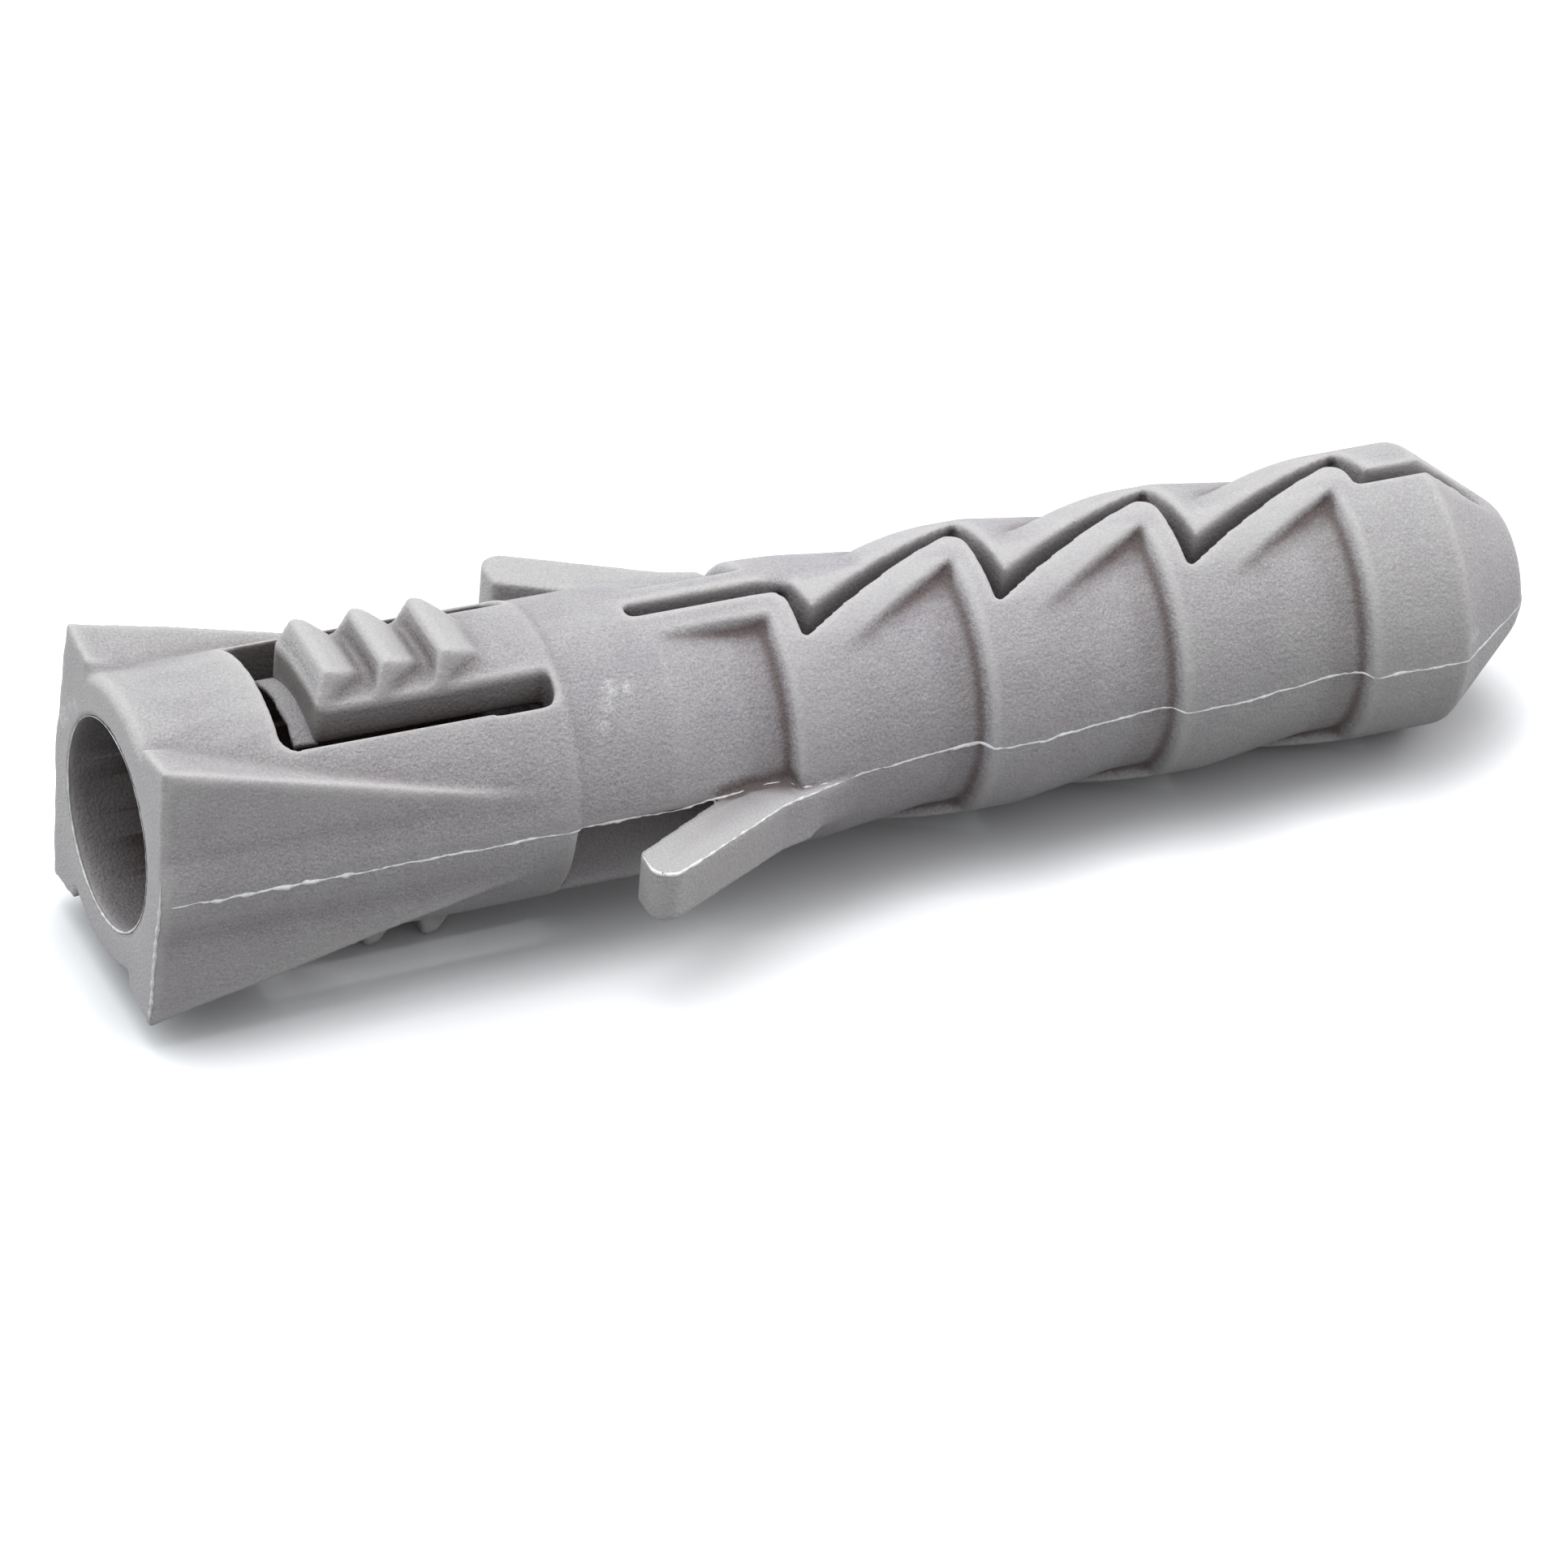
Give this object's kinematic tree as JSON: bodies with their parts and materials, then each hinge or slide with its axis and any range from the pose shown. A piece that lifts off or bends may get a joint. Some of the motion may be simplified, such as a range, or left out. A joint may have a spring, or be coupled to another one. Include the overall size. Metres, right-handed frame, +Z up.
{
  "type": "wall plug",
  "caption": "Nylon expansion plug with a bored head, corner fins, toothed locking tongues, folding wings and a zigzag split between stepped barbs.",
  "frame": {"origin": "centre of the screw bore's mouth, on the head's face", "axes": "+X along the plug's axis from the head to the tip, +Z up through the upper locking tongue, with the parting plane level"},
  "size_m": [0.04, 0.013, 0.0092],
  "materials": {
    "nylon": "matte"
  },
  "bodies": {
    "root": {"plug_body": "nylon"}
  },
  "joints": []
}
